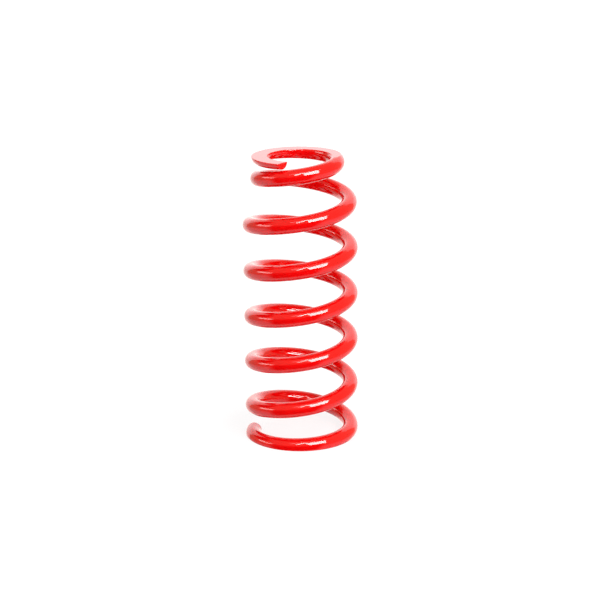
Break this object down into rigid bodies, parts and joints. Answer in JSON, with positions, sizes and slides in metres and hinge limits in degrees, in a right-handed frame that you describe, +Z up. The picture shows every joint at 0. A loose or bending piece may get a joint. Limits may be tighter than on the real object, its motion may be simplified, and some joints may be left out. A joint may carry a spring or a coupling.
{
  "type": "helical spring",
  "caption": "Red painted coil compression spring for a rear shock absorber, ground flat at both ends, the upper end wound to a smaller diameter.",
  "frame": {"origin": "on the coil's axis, in the lower ground face that the spring stands on", "axes": "+Z up along the coil's axis, to the reduced upper end; -Y is the front, where the cut upper tip shows 20.5 degrees left of centre; +X to the right"},
  "size_m": [0.0875, 0.0874, 0.22],
  "materials": {
    "red_paint": "glossy bright red baked paint over spring steel, on the ground faces too"
  },
  "bodies": {
    "root": {"coil_spring": "red_paint"}
  },
  "joints": []
}
